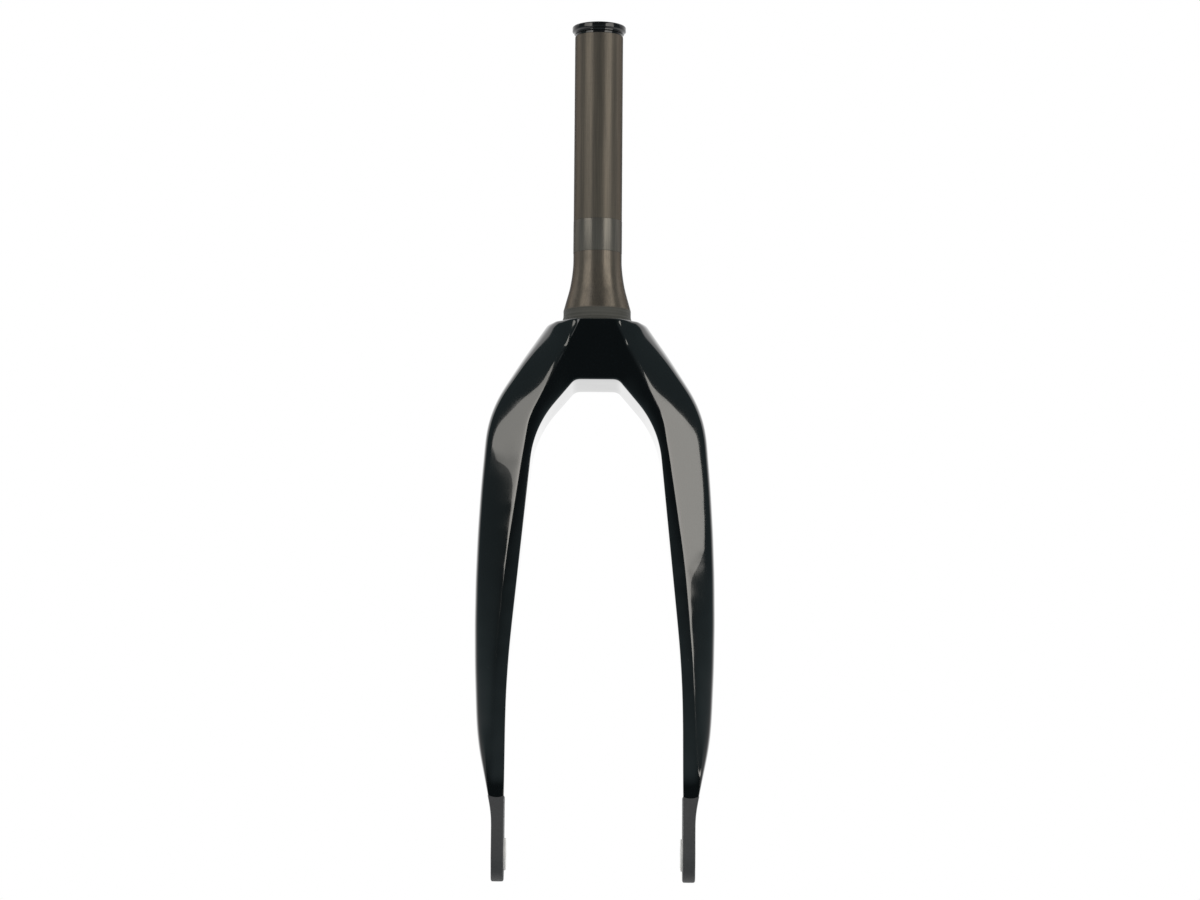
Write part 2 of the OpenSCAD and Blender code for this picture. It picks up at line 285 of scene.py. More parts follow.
class Effects:
    """The shader groups, each built once and placed in each finish with its own values."""

    def __init__(self) -> None:
        """Starts with no group built."""
        self.built: dict[Effect, bpy.types.NodeTree] = {}
        self.makers: dict[Effect, Callable[[Graph, bpy.types.Node, bpy.types.Node], None]] = {
            Effect.GRAIN: self.grain,
            Effect.FIBRE: self.fibre,
            Effect.TURNING: self.turning,
            Effect.WEAR: self.wear,
            Effect.SPECKS: self.specks,
        }
        self.sockets: dict[Effect, tuple[dict[str, float], tuple[str, ...]]] = {
            Effect.GRAIN: ({"Scale": 900.0, "Detail": 3.0}, ("Value",)),
            Effect.FIBRE: ({"Threads": 2600.0, "Tows": 260.0}, ("Fibre", "Tow")),
            Effect.TURNING: ({"Rings": 2400.0}, ("Ring",)),
            Effect.WEAR: ({"Reach": 0.03, "Scale": 700.0}, ("Mask",)),
            Effect.SPECKS: ({"Scale": 420.0, "Share": 0.2}, ("Mask",)),
        }

    def place(self, graph: Graph, effect: Effect, **values: object) -> bpy.types.Node:
        """Places an effect in a finish.

        Args:
            graph: The finish's tree.
            effect: Which effect.
            **values: The group's inputs.

        Returns:
            The group's node.
        """
        if effect not in self.built:
            self.built[effect] = self.build(effect)
        made = graph.node("ShaderNodeGroup", node_tree=self.built[effect])
        for name, value in values.items():
            graph.feed(made.inputs[name], value)
        return made

    def build(self, effect: Effect) -> bpy.types.NodeTree:
        """Builds one group.

        Args:
            effect: Which effect.

        Returns:
            The group's tree.
        """
        tree = bpy.data.node_groups.new(effect.value, "ShaderNodeTree")
        inputs, outputs = self.sockets[effect]
        for name, value in inputs.items():
            tree.interface.new_socket(name=name, in_out="INPUT", socket_type="NodeSocketFloat").default_value = value
        for name in outputs:
            tree.interface.new_socket(name=name, in_out="OUTPUT", socket_type="NodeSocketFloat")
        self.makers[effect](Graph(tree), tree.nodes.new("NodeGroupInput"), tree.nodes.new("NodeGroupOutput"))
        return tree

    def grain(self, graph: Graph, given: bpy.types.Node, result: bpy.types.Node) -> None:
        """Cloudy noise, even in every direction.

        Args:
            graph: The group's tree.
            given: Its inputs.
            result: Its outputs.
        """
        noise = graph.node(
            "ShaderNodeTexNoise",
            {"Vector": graph.place(), "Scale": given.outputs["Scale"], "Detail": given.outputs["Detail"]},
        )
        graph.feed(result.inputs["Value"], graph.ease(noise.outputs[0], 0.3, 0.7))

    def fibre(self, graph: Graph, given: bpy.types.Node, result: bpy.types.Node) -> None:
        """Fibres that run up the piece, and the broader tows they lie in.

        Args:
            graph: The group's tree.
            given: Its inputs.
            result: Its outputs.
        """
        x, y, z = graph.split(graph.place())
        for name, count, stretch, low, high in (("Fibre", "Threads", 0.012, 0.34, 0.66),
                                                ("Tow", "Tows", 0.05, 0.3, 0.7)):
            across = given.outputs[count]
            along = graph.times(across, stretch)
            spot = graph.join(graph.times(x, across), graph.times(y, across),
                              graph.times(z, along))
            noise = graph.node("ShaderNodeTexNoise", {"Vector": spot, "Scale": 1.0, "Detail": 4.0})
            graph.feed(result.inputs[name], graph.ease(noise.outputs[0], low, high))

    def turning(self, graph: Graph, given: bpy.types.Node, result: bpy.types.Node) -> None:
        """Rings that a cutting or sanding tool leaves round a turned piece.

        Args:
            graph: The group's tree.
            given: Its inputs.
            result: Its outputs.
        """
        x, y, z = graph.split(graph.place())
        spot = graph.join(graph.times(x, 6.0), graph.times(y, 6.0),
                          graph.times(z, given.outputs["Rings"]))
        noise = graph.node("ShaderNodeTexNoise", {"Vector": spot, "Scale": 1.0, "Detail": 3.0, "Roughness": 0.6})
        graph.feed(result.inputs["Ring"], graph.ease(noise.outputs[0], 0.32, 0.68))

    def wear(self, graph: Graph, given: bpy.types.Node, result: bpy.types.Node) -> None:
        """Rubbed edges: where the surface is sharply convex, broken up by noise.

        Args:
            graph: The group's tree.
            given: Its inputs.
            result: Its outputs.
        """
        point = graph.node("ShaderNodeNewGeometry").outputs["Pointiness"]
        above = graph.minus(point, 0.5)
        edge = graph.math("MINIMUM", graph.math("MAXIMUM", graph.math("DIVIDE", above, given.outputs["Reach"]), 0.0),
                          1.0)
        noise = graph.node("ShaderNodeTexNoise",
                           {"Vector": graph.place(), "Scale": given.outputs["Scale"], "Detail": 3.0})
        graph.feed(result.inputs["Mask"], graph.times(edge, graph.ease(noise.outputs[0], 0.35, 0.65)))

    def specks(self, graph: Graph, given: bpy.types.Node, result: bpy.types.Node) -> None:
        """Tiny specks of dust, on some of the cells of a scattered grid.

        Args:
            graph: The group's tree.
            given: Its inputs.
            result: Its outputs.
        """
        cells = graph.node("ShaderNodeTexVoronoi", {"Vector": graph.place(), "Scale": given.outputs["Scale"]})
        tint = graph.split(cells.outputs["Color"])[0]
        kept = graph.math("LESS_THAN", tint, given.outputs["Share"])
        dot = graph.ease(cells.outputs["Distance"], 0.05, 0.14, 1.0, 0.0)
        graph.feed(result.inputs["Mask"], graph.times(dot, kept))


# Finishes


@dataclass(frozen=True)
class Finish:
    """What every finish has.

    Attributes:
        title: The material's name.
    """

    title: str

    def material(self, effects: Effects) -> bpy.types.Material:
        """Makes the material.

        Args:
            effects: The shared shader groups.

        Returns:
            The material.
        """
        made = bpy.data.materials.new(self.title)
        graph = fresh_graph(made)
        surface = graph.node("ShaderNodeBsdfPrincipled")
        self.wire(graph, surface, effects)
        graph.node("ShaderNodeOutputMaterial", {"Surface": surface.outputs[0]})
        return made

    def wire(self, graph: Graph, surface: bpy.types.Node, effects: Effects) -> None:
        """Feeds the surface shader.

        Args:
            graph: The material's tree.
            surface: Its Principled shader.
            effects: The shared shader groups.
        """
        raise NotImplementedError


def relief(graph: Graph, height: Socket, depth_mm: float) -> Socket:
    """Adds a Bump node.

    Args:
        graph: The material's tree.
        height: The height's socket, 0 to 1.
        depth_mm: What 1 stands for, in millimetres.

    Returns:
        The normal's socket.
    """
    return graph.node("ShaderNodeBump", {"Height": height, "Distance": depth_mm * MM, "Strength": 1.0}).outputs[0]


@dataclass(frozen=True)
class GlossPaint(Finish):
    """Polished black lacquer over the moulding, masked off round the dropouts.

    Attributes:
        lacquer: Colour of the lacquer.
        bare: Colour of the matt surface below the masking line.
        line: Height of the masking line at the middle of the leg.
        dip: How far the line rises at the leg's edges.
        leg_at: How far out the leg's middle is there.
        leg_half: Half of the leg's width there.
        feather: Half of the width over which the line fades.
        dust: Colour of specks of dust in the lacquer.
        polish: Lowest and highest roughness of the lacquer.
        satin: Lowest and highest roughness of the bare surface.
        relief_mm: Depth of the grain in the bare surface.
    """

    title: str = "gloss_black_lacquer"
    lacquer: Colour = (0.0009, 0.0013, 0.0016, 1.0)
    bare: Colour = (0.044, 0.045, 0.048, 1.0)
    line: float = -280.4
    dip: float = 1.9
    leg_at: float = 55.5
    leg_half: float = 6.0
    feather: float = 0.15
    dust: Colour = (0.06, 0.06, 0.06, 1.0)
    polish: Pair = (0.07, 0.10)
    satin: Pair = (0.46, 0.56)
    relief_mm: float = 0.02

    def wire(self, graph: Graph, surface: bpy.types.Node, effects: Effects) -> None:
        """Feeds the surface shader.

        Args:
            graph: The material's tree.
            surface: Its Principled shader.
            effects: The shared shader groups.
        """
        x, _, z = graph.split(graph.place())
        away = graph.minus(graph.math("ABSOLUTE", x), self.leg_at * MM)
        share = graph.math("DIVIDE", away, self.leg_half * MM)
        lift = graph.times(graph.times(share, share), self.dip * MM)
        over = graph.minus(graph.minus(z, self.line * MM), lift)
        bare = graph.ease(over, -self.feather * MM, self.feather * MM, 1.0, 0.0)
        grain = effects.place(graph, Effect.GRAIN, Scale=1500.0).outputs[0]
        cloud = effects.place(graph, Effect.GRAIN, Scale=38.0).outputs[0]
        specks = effects.place(graph, Effect.SPECKS, Scale=260.0, Share=0.05).outputs[0]
        deep = graph.blend(cloud, self.lacquer, shaded(self.lacquer, 1.35))
        dusty = graph.blend(graph.times(specks, 0.35), deep, self.dust)
        matt = graph.blend(grain, self.bare, shaded(self.bare, 0.82))
        graph.feed(surface.inputs["Base Color"], graph.blend(bare, dusty, matt))
        polish, rough = graph.spread(cloud, *self.polish), graph.spread(grain, *self.satin)
        spread = graph.minus(rough, polish)
        graph.feed(surface.inputs["Roughness"], graph.plus(polish, graph.times(spread, bare)))
        graph.feed(surface.inputs["Coat Weight"], graph.minus(1.0, bare))
        surface.inputs["Coat Roughness"].default_value = 0.02
        peel = effects.place(graph, Effect.GRAIN, Scale=130.0, Detail=1.0).outputs[0]
        wave = effects.place(graph, Effect.GRAIN, Scale=42.0, Detail=1.0).outputs[0]
        fine = graph.plus(graph.times(peel, 0.1), graph.times(grain, bare))
        height = graph.plus(graph.times(wave, 5.0), fine)
        graph.feed(surface.inputs["Normal"], relief(graph, height, self.relief_mm))


@dataclass(frozen=True)
class StraightCarbon(Finish):
    """Bare carbon laminate whose fibres run up the tube, with a sanded seat at its foot.

    Attributes:
        dark: Colour between the fibres.
        light: Colour of the fibres.
        roughness: Lowest and highest roughness.
        rings: Share of the turning marks in colour and relief.
        seat: Height below which the laminate is sanded matt.
        seam: Height below which it is polished a little more.
        sanded: The sanded seat's two tones.
        metallic: How metallic the polished laminate and the sanded seat look.
        relief_mm: Depth of the fibres and marks.
    """

    title: str = "bare_carbon"
    dark: Colour = (0.116, 0.103, 0.087, 1.0)
    light: Colour = (0.190, 0.162, 0.131, 1.0)
    roughness: Pair = (0.39, 0.46)
    rings: float = 0.15
    seat: float = RACE_H
    seam: float = LOWER_SEAM
    sanded: tuple[Colour, Colour] = ((0.050, 0.050, 0.045, 1.0), (0.092, 0.092, 0.083, 1.0))
    metallic: Pair = (0.76, 0.15)
    relief_mm: float = 0.012

    def wire(self, graph: Graph, surface: bpy.types.Node, effects: Effects) -> None:
        """Feeds the surface shader.

        Args:
            graph: The material's tree.
            surface: Its Principled shader.
            effects: The shared shader groups.
        """
        fibres = effects.place(graph, Effect.FIBRE)
        rings = effects.place(graph, Effect.TURNING).outputs[0]
        bands = effects.place(graph, Effect.TURNING, Rings=700.0).outputs[0]
        grain = effects.place(graph, Effect.GRAIN, Scale=2200.0).outputs[0]
        height = graph.split(graph.place())[2]
        matt = graph.ease(height, (self.seat - 0.6) * MM, (self.seat + 0.6) * MM, 1.0, 0.0)
        lines = graph.plus(graph.times(fibres.outputs["Fibre"], 0.55),
                           graph.times(fibres.outputs["Tow"], 0.45))
        mixed = graph.plus(graph.times(lines, 1.0 - self.rings),
                           graph.times(rings, self.rings))
        sanded = graph.blend(bands, *self.sanded)
        graph.feed(surface.inputs["Base Color"],
                   graph.blend(matt, graph.blend(mixed, self.dark, self.light), sanded))
        smooth = graph.spread(grain, *self.roughness)
        polish = graph.ease(height, (self.seam - 0.1) * MM, (self.seam + 0.1) * MM, -0.1, 0.0)
        graph.feed(surface.inputs["Roughness"],
                   graph.plus(graph.plus(smooth, polish), graph.times(matt, 0.35)))
        graph.feed(surface.inputs["Metallic"], graph.ease(matt, 0.0, 1.0, *self.metallic))
        surface.inputs["Specular Tint"].default_value = (0.1, 0.1, 0.1, 1.0)
        surface.inputs["Anisotropic"].default_value = 0.75
        graph.feed(surface.inputs["Tangent"], graph.join(0.0, 0.0, 1.0))
        marks = graph.plus(mixed, graph.times(grain, 0.4))
        graph.feed(surface.inputs["Normal"], relief(graph, marks, self.relief_mm))


@dataclass(frozen=True)
class Metal(Finish):
    """Turned metal: bare, plated or anodised.

    Attributes:
        colour: Its colour.
        worn: Colour where edges are rubbed.
        roughness: Lowest and highest roughness.
        metallic: 1 for bare metal, less for a dyed anodised skin.
        rings: Turning marks per metre.
        relief_mm: Depth of the turning marks.
        wear: Share of the worn colour on rubbed edges.
    """

    title: str = "bare_alloy"
    colour: Colour = (0.46, 0.46, 0.47, 1.0)
    worn: Colour = (0.7, 0.7, 0.71, 1.0)
    roughness: Pair = (0.22, 0.36)
    metallic: float = 1.0
    rings: float = 6000.0
    relief_mm: float = 0.004
    wear: float = 0.6

    def wire(self, graph: Graph, surface: bpy.types.Node, effects: Effects) -> None:
        """Feeds the surface shader.

        Args:
            graph: The material's tree.
            surface: Its Principled shader.
            effects: The shared shader groups.
        """
        rings = effects.place(graph, Effect.TURNING, Rings=self.rings).outputs[0]
        grain = effects.place(graph, Effect.GRAIN, Scale=1800.0).outputs[0]
        wear = effects.place(graph, Effect.WEAR).outputs[0]
        shade = graph.blend(graph.times(grain, 0.3), self.colour, shaded(self.colour, 0.7))
        graph.feed(surface.inputs["Base Color"], graph.blend(graph.times(wear, self.wear), shade, self.worn))
        mixed = graph.plus(graph.times(rings, 0.6), graph.times(grain, 0.4))
        graph.feed(surface.inputs["Roughness"], graph.spread(mixed, *self.roughness))
        surface.inputs["Metallic"].default_value = self.metallic
        graph.feed(surface.inputs["Normal"], relief(graph, rings, self.relief_mm))


class Slot(Enum):
    """The record's material slots, each with the finish that this fork has."""

    GLOSS_BLACK = "gloss_black"
    BARE_LAMINATE = "bare_laminate"
    COLLAR_LAMINATE = "collar_laminate"
    BLACK_ANODISED = "black_anodised"
    BARE_ALLOY = "bare_alloy"
    BLACK_STEEL = "black_steel"
    ZINC_STEEL = "zinc_steel"


FINISHES: dict[Slot, Finish] = {
    Slot.GLOSS_BLACK: GlossPaint(),
    Slot.BARE_LAMINATE: StraightCarbon(),
    Slot.COLLAR_LAMINATE: StraightCarbon(
        "collar_carbon", dark=(0.116, 0.110, 0.099, 1.0), light=(0.192, 0.178, 0.156, 1.0),
        roughness=(0.30, 0.34), rings=0.2, seam=0.0),
    Slot.BLACK_ANODISED: Metal(
        "black_anodised", colour=(0.004, 0.0045, 0.005, 1.0), worn=(0.03, 0.03, 0.032, 1.0),
        roughness=(0.07, 0.13), metallic=0.0, rings=5200.0, relief_mm=0.0003, wear=0.15),
    Slot.BARE_ALLOY: Metal(
        "bare_alloy", colour=(0.86, 0.85, 0.83, 1.0), worn=(0.90, 0.90, 0.90, 1.0),
        roughness=(0.4, 0.55), metallic=0.2, rings=5200.0, relief_mm=0.002, wear=0.3),
    Slot.BLACK_STEEL: Metal(
        "black_oxide_steel", colour=(0.03, 0.03, 0.032, 1.0), worn=(0.22, 0.22, 0.23, 1.0),
        roughness=(0.3, 0.45), metallic=0.8),
    Slot.ZINC_STEEL: Metal(
        "zinc_steel", colour=(0.42, 0.42, 0.43, 1.0), worn=(0.6, 0.6, 0.6, 1.0), roughness=(0.25, 0.4)),
}


@dataclass
class Paintshop:
    """Hands out each slot's material, made once.

    Attributes:
        effects: The shared shader groups.
        made: The materials made so far.
    """

    effects: Effects
    made: dict[Slot, bpy.types.Material] = field(default_factory=dict)

    def material(self, slot: Slot) -> bpy.types.Material:
        """Gives a slot's material.

        Args:
            slot: The slot.

        Returns:
            Its material.
        """
        if slot not in self.made:
            self.made[slot] = FINISHES[slot].material(self.effects)
        return self.made[slot]

    def dress(self, piece: bpy.types.Object, slot: Slot) -> None:
        """Gives a piece one slot's material on every face.

        Args:
            piece: A new piece or a CAD node.
            slot: The slot.
        """
        piece.data.materials.clear()
        piece.data.materials.append(self.material(slot))


# Mesh code


def as_mesh(name: str, bm: bmesh.types.BMesh) -> bpy.types.Mesh:
    """Turns a bmesh into a mesh, and frees it.

    Args:
        name: The mesh's name.
        bm: The bmesh, in metres.

    Returns:
        The mesh.
    """
    mesh = bpy.data.meshes.new(name)
    bm.to_mesh(mesh)
    bm.free()
    return mesh


def add_piece(name: str, bm: bmesh.types.BMesh, node: str, sharp: float = 32.0) -> bpy.types.Object:
    """Turns a finished bmesh into a piece that rides on the fork and stands for a node.

    Args:
        name: The piece's name.
        bm: Its mesh in millimetres, which is freed.
        node: The CAD node that it stands for.
        sharp: Edges that turn by more degrees than this stay sharp.

    Returns:
        The piece.
    """
    bmesh.ops.scale(bm, vec=(MM, MM, MM), verts=bm.verts)
    bmesh.ops.recalc_face_normals(bm, faces=bm.faces)
    mesh = as_mesh(name, bm)
    mesh.shade_smooth()
    mesh.set_sharp_from_angle(angle=math.radians(sharp))
    piece = stand(name, mesh)
    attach(piece, ROOT)
    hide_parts(node)
    LOG.info("%s: %d faces", name, len(mesh.polygons))
    return piece


def turned(corners: Sequence[Point], steps: int = 128) -> bmesh.types.BMesh:
    """Turns a closed half section about the Z axis.

    Args:
        corners: Radius, height and rounding of each corner, in order.
        steps: Faces round the axis.

    Returns:
        The turned mesh.
    """
    bm = bmesh.new()
    verts = [bm.verts.new((radius, 0.0, height)) for radius, height, _ in corners]
    bm.faces.new(verts)
    count = len(corners)
    for i, (vert, (radius, height, rounding)) in enumerate(zip(verts, corners)):
        if rounding == 0:
            continue
        here = Vector((radius, height))
        to_last = (Vector(corners[i - 1][:2]) - here).normalized()
        to_next = (Vector(corners[(i + 1) % count][:2]) - here).normalized()
        half = to_last.angle(to_next) / 2
        # A long blend takes more steps than a small rounding
        bmesh.ops.bevel(bm, geom=[vert], affect="VERTICES", offset=rounding / math.tan(half),
                        segments=24 if rounding > 10 else 5, profile=0.5, material=-1)
    bmesh.ops.delete(bm, geom=bm.faces[:], context="FACES_ONLY")
    on_axis = [e for e in bm.edges if all(abs(v.co.x) < 1e-6 for v in e.verts)]
    bmesh.ops.delete(bm, geom=on_axis, context="EDGES")
    bmesh.ops.spin(bm, geom=bm.verts[:] + bm.edges[:], cent=(0, 0, 0), axis=(0, 0, 1), dvec=(0, 0, 0),
                   angle=math.tau, steps=steps, use_merge=True, use_normal_flip=False, use_duplicate=False)
    bmesh.ops.remove_doubles(bm, verts=bm.verts, dist=1e-4)
    return bm


@dataclass(frozen=True)
class Rail:
    """A run of corners that draws one edge of the fork.

    Attributes:
        corners: How far across, height and rounding of each corner.
    """

    corners: tuple[Point, ...]

    def points(self) -> list[Vector]:
        """Rounds each corner by its arc.

        Returns:
            The run's points, from its first corner to its last.
        """
        run = [Vector(self.corners[0][:2])]
        for before, here, after in zip(self.corners, self.corners[1:], self.corners[2:]):
            run += self.arc(Vector(before[:2]), here, Vector(after[:2]))
        return run + [Vector(self.corners[-1][:2])]

    @staticmethod
    def arc(before: Vector, corner: Point, after: Vector) -> list[Vector]:
        """Rounds one corner.

        Args:
            before: The corner before it.
            corner: The corner, with its rounding.
            after: The corner after it.

        Returns:
            Points of the arc.
        """
        here = Vector(corner[:2])
        if corner[2] == 0:
            return [here]
        back, on = (before - here).normalized(), (after - here).normalized()
        half = back.angle(on) / 2
        centre = here + (back + on).normalized() * corner[2] / math.sin(half)
        spoke = here + back * corner[2] / math.tan(half) - centre
        turn = math.copysign(math.pi - 2 * half, back.y * on.x - back.x * on.y)
        steps = max(3, round(math.degrees(abs(turn)) / 1.5))
        return [centre + Matrix.Rotation(turn * i / steps, 2) @ spoke for i in range(steps + 1)]


class Track:
    """A rail measured along its length, to be read by place or by height."""

    def __init__(self, rail: Rail, fan_end: float = 0.0) -> None:
        """Measures the rail.

        Args:
            rail: The rail.
            fan_end: Height at which place 1 of the fan lies.
        """
        self.points = rail.points()
        self.reach = [0.0]
        for a, b in zip(self.points, self.points[1:]):
            self.reach.append(self.reach[-1] + (b - a).length)
        self.fan_reach = self.read([(-p.y, r) for p, r in zip(self.points, self.reach)], -fan_end)

    @staticmethod
    def read(pairs: Sequence[Pair], value: float) -> float:
        """Reads a table between its rows.

        Args:
            pairs: Rows of (key, result), with keys that don't fall.
            value: The key that is wanted.

        Returns:
            The result there, or the nearest end's.
        """
        if value <= pairs[0][0]:
            return pairs[0][1]
        for (k0, v0), (k1, v1) in zip(pairs, pairs[1:]):
            if value <= k1:
                return v0 if k1 == k0 else v0 + (v1 - v0) * (value - k0) / (k1 - k0)
        return pairs[-1][1]

    def at_place(self, place: float) -> Vector:
        """Gives the point at a place in the fan, 0 in the middle and 1 at its end.

        Args:
            place: The place.

        Returns:
            How far across, and the height.
        """
        want = place * self.fan_reach
        return Vector((self.read([(r, p.x) for r, p in zip(self.reach, self.points)], want),
                       self.read([(r, p.y) for r, p in zip(self.reach, self.points)], want)))

    def at_height(self, height: float) -> float:
        """Gives how far across the rail is at a height.

        Args:
            height: The height.

        Returns:
            The distance across.
        """
        return self.read([(-p.y, p.x) for p in self.points], -height)


def eased(rows: Sequence[Pair], value: float) -> float:
    """Reads a table on a smooth curve that doesn't overshoot its rows.

    Args:
        rows: Rows of (key, result) with rising keys.
        value: The key that is wanted.

    Returns:
        The result there, or the nearest end's.
    """
    if value <= rows[0][0]:
        return rows[0][1]
    if value >= rows[-1][0]:
        return rows[-1][1]
    slopes = [(b[1] - a[1]) / (b[0] - a[0]) for a, b in zip(rows, rows[1:])]
    bend = [slopes[0]] + [0.0 if p * q <= 0 else 2 * p * q / (p + q) for p, q in zip(slopes, slopes[1:])]
    bend.append(slopes[-1])
    i = next(n for n in range(len(slopes)) if value <= rows[n + 1][0])
    span = rows[i + 1][0] - rows[i][0]
    t = (value - rows[i][0]) / span
    return ((2 * t**3 - 3 * t**2 + 1) * rows[i][1] + (t**3 - 2 * t**2 + t) * span * bend[i]
            + (3 * t**2 - 2 * t**3) * rows[i + 1][1] + (t**3 - t**2) * span * bend[i + 1])


# The fork's sub-assemblies


@dataclass
class Moulding:
    """The one-piece moulding: crown, arch, legs and dropouts, lofted through sections.

    Attributes:
        shoulder_w: Width of the flat shoulder.
        crown_depth: Depth of the crown at the shoulder.
        arch_drop: Drop from the shoulder to the flat of the arch.
        arch_flat_w: Width of that flat.
        front_panel_w: Width of the front panel at the shoulder.
        axle_drop: Drop from the shoulder to the axle.
        rake: How far the axle lies ahead of the steerer axis.
        leg_bow: How far the legs bow out past the dropouts.
        plate_in: Inner face of the dropouts.
        plate_out: Outer face of the dropouts.
        dropout_r: Radius of the dropouts' round ends.
        rim_r: Rounding of their rims.
        bore_r: Radius of the holes for the bushes.
        fan_end: Height where the fan's sections lie level.
    """

    shoulder_w: float = 57.2
    crown_depth: float = 50.0
    arch_drop: float = 36.8
    arch_flat_w: float = 25.2
    front_panel_w: float = 17.2
    axle_drop: float = AXLE_DROP
    rake: float = RAKE
    leg_bow: float = 14.1
    plate_in: float = PLATE_IN
    plate_out: float = PLATE_OUT
    dropout_r: float = 15.8
    rim_r: float = 1.5
    bore_r: float = BUSH_R
    fan_end: float = -88.0

    # Roundings and the spine's width and half depth, by place in the fan or by height
    INNER_R = 0.6
    CREASE_R = 2.4
    CROWNING = 0.012
    EDGE_R_FAN = ((0.12, 0.8), (0.2, 3.5), (0.35, 2.5))
    CREASE_R_FAN = ((0.1, 1.6), (0.2, 2.6), (0.29, 5.0), (0.37, 4.0), (0.5, 2.4))
    SPINE_HALF_FAN = ((0.0, 25.0), (0.06, 25.0), (0.085, 24.5), (0.19, 16.3), (0.26, 13.0), (1.0, 12.0))
    SPINE_W_FAN = ((0.19, 0.0), (0.25, 3.8), (0.5, 2.4), (0.8, 1.1), (1.0, 1.0))
    SPINE_W_LEG = ((-285.0, 0.3), (-240.0, 1.0))
    SPINE_HALF_LEG = ((-300.0, 20.0), (-275.0, 13.0), (-262.0, 11.0), (-235.0, 9.4), (-180.0, 10.0), (-88.0, 12.0))

    def __post_init__(self) -> None:
        """Draws the five rails."""
        drop, tip = self.axle_drop, -self.axle_drop - self.dropout_r
        p_in, p_out, rake, r = self.plate_in, self.plate_out, self.rake, self.dropout_r
        half = self.crown_depth / 2
        self.tip = tip
        self.outer = Track(Rail((
            (0, 0, 0), (self.shoulder_w / 2 + 0.4, 0, 4), (p_out - 15.9, -20, 90), (p_out + 5.1, -0.17 * drop, 75),
            (p_out + self.leg_bow, -0.49 * drop, 1100), (p_out + 9, -0.79 * drop, 165),
            (p_out, -0.927 * drop, 60), (p_out, tip, 0))), self.fan_end)
        self.inner = Track(Rail((
            (0, -self.arch_drop, 0), (self.arch_flat_w / 2, -self.arch_drop, 6),
            (p_in - 15.1, -0.208 * drop, 60), (p_in - 0.4, -0.675 * drop, 590),
            (p_in, -0.9 * drop, 200), (p_in, tip, 0))), self.fan_end)
        self.crease = Track(Rail((
            (0, -1, 0), (self.front_panel_w / 2 + 1.2, -1, 2), (p_out - 18.9, -0.192 * drop, 30),
            (p_out - 6.1, -0.467 * drop, 500), (p_out - 0.9, -0.66 * drop, 500),
            (p_out + 1.7, -0.889 * drop, 20), (p_out - 1, -0.931 * drop, 60), (p_out - 1, tip, 0))), self.fan_end)
        self.front = Track(Rail((
            (-half, 0, 0), (-half - 2.8, -21, 120), (-rake - 9.3, -0.885 * drop, 50),
            (-rake - r, -0.96 * drop, 24), (-rake - r, tip, 0))))
        self.back = Track(Rail((
            (half, 0, 0), (half - 1, -0.128 * drop, 90), (-rake + r + 0.4, -0.86 * drop, 120),
            (-rake + r, -drop, 200), (-rake + r, tip, 0))))

    def edge(self, rail: Track, side: float, z: float) -> float:
        """Gives the front or back edge at a height, round the end below the axle.

        Args:
            rail: The front or the back rail.
            side: -1 for the front, 1 for the back.
            z: The height.

        Returns:
            Its place along Y.
        """
        if z >= -self.axle_drop:
            return rail.at_height(z)
        return -self.rake + side * math.sqrt(max(0.0, self.dropout_r**2 - (z + self.axle_drop) ** 2))

    @staticmethod
    def soft(before: Vector, here: Vector, after: Vector, radius: float) -> list[Vector]:
        """Rounds a corner of a section with three control points.

        Args:
            before: The corner before it.
            here: The corner.
            after: The corner after it.
            radius: How far the rounding reaches.

        Returns:
            The three points.
        """
        back, on = before - here, after - here
        start = here + back.normalized() * min(radius, 0.45 * back.length)
        end = here + on.normalized() * min(radius, 0.45 * on.length)
        return [start, (start + 2 * here + end) / 4, end]

    @staticmethod
    def panel(a: Vector, b: Vector, rise: Vector, count: int) -> list[Vector]:
        """Gives points between two corners, on a slightly crowned panel.

        Args:
            a: First corner.
            b: Second corner.
            rise: How far the panel's middle stands out.
            count: How many points.

        Returns:
            The points.
        """
        shares = [(n + 1) / (count + 1) for n in range(count)]
        return [a.lerp(b, t) + rise * 4 * t * (1 - t) for t in shares]

    def section(self, i: Vector, c: Vector, o: Vector, spine_w: float, spine_half: float,
                edge_r: float, crease_r: float = CREASE_R) -> list[Vector]:
        """Builds one closed section.

        Args:
            i: The inner rail's point, across and height.
            c: The crease's point.
            o: The outer rail's point.
            spine_w: Width of the rounded outer spine.
            spine_half: Its half depth.
            edge_r: Rounding where the outer panels meet it.
            crease_r: Rounding of the crease.

        Returns:
            The section's points, in order round it.
        """
        b = o - (o - i).normalized() * spine_w
        mid = (self.edge(self.front, -1, o.y) + self.edge(self.back, 1, o.y)) / 2
        half = min(spine_half, (self.edge(self.back, 1, b.y) - self.edge(self.front, -1, b.y)) / 2)
        i_front, c_front = (Vector((p.x, self.edge(self.front, -1, p.y), p.y)) for p in (i, c))
        i_back, c_back = (Vector((p.x, self.edge(self.back, 1, p.y), p.y)) for p in (i, c))
        s = b.lerp(o, 0.75)
        b_front, b_back = (Vector((b.x, mid + side * half, b.y)) for side in (-1, 1))
        o_front, o_back = (Vector((s.x, mid + side * half / 2, s.y)) for side in (-1, 1))
        crown = Vector((0, self.CROWNING * (c_front - b_front).length, 0))
        fr = self.soft(i_back, i_front, c_front, self.INNER_R)
        cf = self.soft(i_front, c_front, b_front, crease_r)
        bf = self.soft(c_front, b_front, o_front, edge_r)
        bb = self.soft(o_back, b_back, c_back, edge_r)
        cb = self.soft(b_back, c_back, i_back, crease_r)
        ib = self.soft(c_back, i_back, i_front, self.INNER_R)
